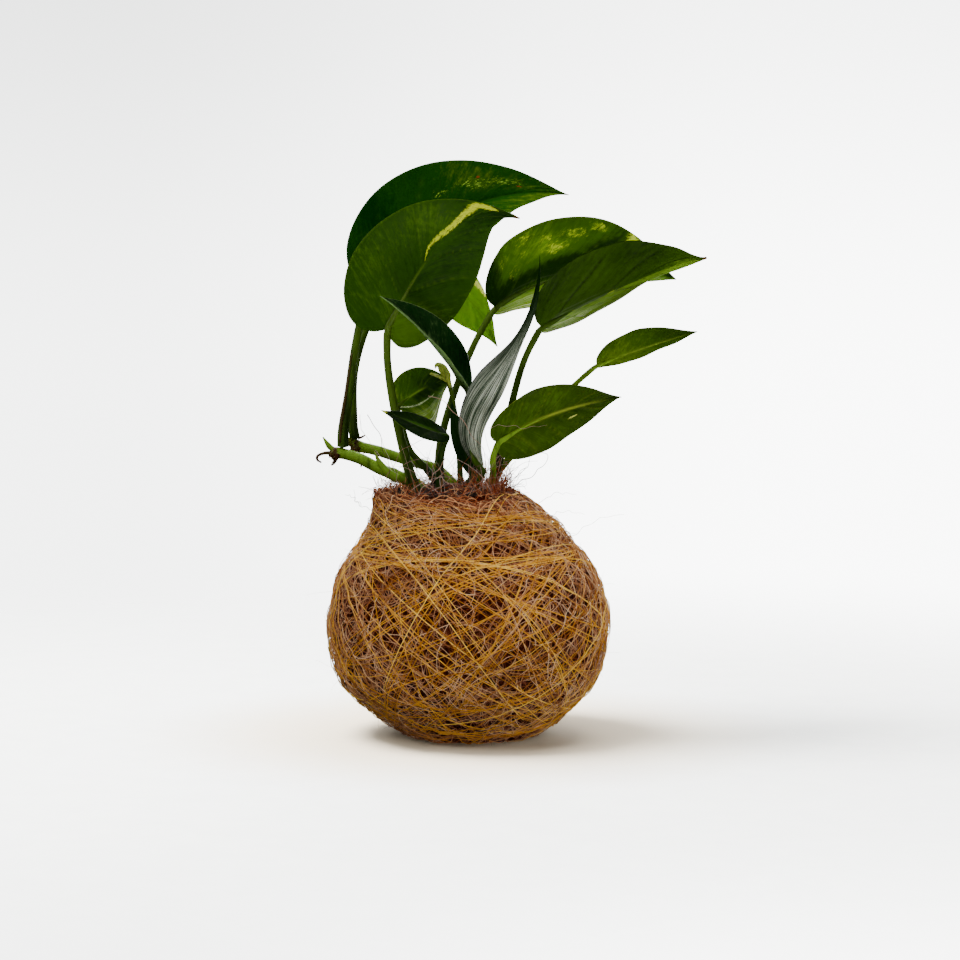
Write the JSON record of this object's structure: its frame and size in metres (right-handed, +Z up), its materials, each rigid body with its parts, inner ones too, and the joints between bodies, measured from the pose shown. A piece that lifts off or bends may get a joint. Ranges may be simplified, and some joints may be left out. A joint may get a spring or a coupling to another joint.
{
  "type": "kokedama plant ball",
  "caption": "Kokedama house plant: a golden pothos growing from a round fibre-wrapped ball of soil bound with thread, with heart-shaped variegated leaves on thin stalks.",
  "frame": {"origin": "middle of the flat spot that the ball rests on, on the surface it stands on", "axes": "+Z up, +X to the right and +Y away as the plant is seen from its front, where the largest leaf spreads to the left and two leaves spread to the right"},
  "size_m": [0.158, 0.1165, 0.2313],
  "materials": {
    "soil": "loose damp potting mix, dark brown, fully rough",
    "coir_fibre": "matted coconut fibre, reddish brown, fully rough",
    "binding_thread": "golden-brown coarse fibre thread, matte",
    "vine_stem": "smooth living stem, pale olive green, waxy",
    "leaf_dark": "waxy living leaf, dark blue-green, glossy",
    "leaf_green": "waxy living leaf, mid green with yellow variegation, satin",
    "leaf_olive": "waxy living leaf, olive green, satin",
    "leaf_bright": "thin living leaf, bright yellow-green, satin",
    "leaf_silver": "underside of a rolled living leaf, silvery with pale stripes, satin"
  },
  "bodies": {
    "root": {"soil_ball": "soil", "coir_jacket": "coir_fibre", "binding_thread": "binding_thread", "vine_stem_front": "vine_stem", "vine_stem_back": "vine_stem", "leaf_top_back": "leaf_dark", "leaf_left_front": "leaf_green", "leaf_right_back": "leaf_green", "leaf_right_front": "leaf_olive", "leaf_right_small": "leaf_bright", "leaf_low_right": "leaf_green", "leaf_hanging": "leaf_bright", "leaf_folded_upper": "leaf_dark", "leaf_rolled_silver": "leaf_silver", "leaf_left_inner": "leaf_olive", "leaf_folded_low": "leaf_dark", "leaf_sheath": "leaf_dark", "leaf_unfurling": "leaf_bright"}
  },
  "joints": []
}
